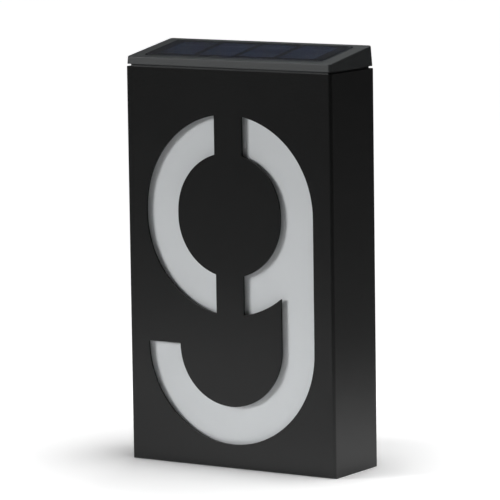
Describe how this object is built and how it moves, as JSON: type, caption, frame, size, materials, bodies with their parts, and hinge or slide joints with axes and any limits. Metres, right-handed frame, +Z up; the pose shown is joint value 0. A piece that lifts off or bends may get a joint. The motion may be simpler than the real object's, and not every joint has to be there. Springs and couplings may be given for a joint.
{
  "type": "illuminated house number sign",
  "caption": "Solar-powered wall light with a backlit stencil numeral in a folded steel box, topped by a sloping plug-in solar head.",
  "frame": {"origin": "middle of the sign's footprint, on its bottom face", "axes": "+Z up, -Y out of the numbered front, +Y into the wall, +X to the right seen from the front"},
  "size_m": [0.115, 0.039, 0.2009],
  "materials": {
    "black_coated_steel": "satin black powder coat on folded sheet steel",
    "opal_acrylic": "opal white sheet, softly glossy",
    "black_foam": "closed-cell foam tape",
    "black_moulding": "finely textured black plastic",
    "white_sheet": "matt white reflector sheet",
    "zinc_screw": "bright zinc-plated steel",
    "clear_adhesive": "cured adhesive bead",
    "panel_laminate": "dark solder mask on a glass-fibre board",
    "silicon": "dark blue silicon with fine printed fingers",
    "clear_resin": "clear cast resin",
    "clear_acrylic": "clear moulded plastic",
    "white_laminate": "white solder mask on an aluminium-backed board",
    "lamp_body": "white lamp body with a yellow phosphor window",
    "battery_wrap": "plain green film sleeve over a metal can",
    "nickel_plate": "bright nickel-plated spring steel",
    "green_laminate": "green solder mask on a glass-fibre board",
    "ferrite": "dark ferrite drum with a copper winding",
    "capacitor_can": "dark blue film sleeve over an aluminium can",
    "chip_case": "black epoxy case with tinned legs",
    "chip_resistor": "black ceramic body with tinned caps",
    "switch_case": "black switch case",
    "switch_knob": "black ribbed knob",
    "red_wire": "red insulated wire",
    "twin_wire": "red and black insulated wires side by side",
    "black_wire": "black insulated wire"
  },
  "bodies": {
    "housing": {"sleeve": "black_coated_steel", "diffuser": "opal_acrylic", "diffuser_tape": "black_foam", "back_cover": "black_moulding", "reflector": "white_sheet"},
    "solar_head": {"head_cover": "black_moulding", "head_base": "black_moulding", "base_screws": "zinc_screw", "panel_adhesive": "clear_adhesive", "panel_board": "panel_laminate", "solar_cells": "silicon", "panel_resin": "clear_resin", "lamp_lens": "clear_acrylic", "lamp_board": "white_laminate", "lamps": "lamp_body", "battery": "battery_wrap", "plus_contact": "nickel_plate", "minus_contact": "nickel_plate", "driver_board": "green_laminate", "driver_coil": "ferrite", "driver_capacitor": "capacitor_can", "driver_chip": "chip_case", "driver_resistors": "chip_resistor", "switch_body": "switch_case", "solar_lead": "twin_wire", "lamp_lead": "twin_wire", "battery_lead_plus": "red_wire", "battery_lead_minus": "black_wire"},
    "switch_knob": {"switch_slider": "switch_knob"}
  },
  "joints": [
    {"name": "head_lift", "type": "slide", "parent": "housing", "child": "solar_head", "axis": [0, 0, 1], "range_m": [0, 0.045]},
    {"name": "switch_slide", "type": "slide", "parent": "solar_head", "child": "switch_knob", "axis": [1, 0, 0], "range_m": [0, 0.0026]}
  ]
}
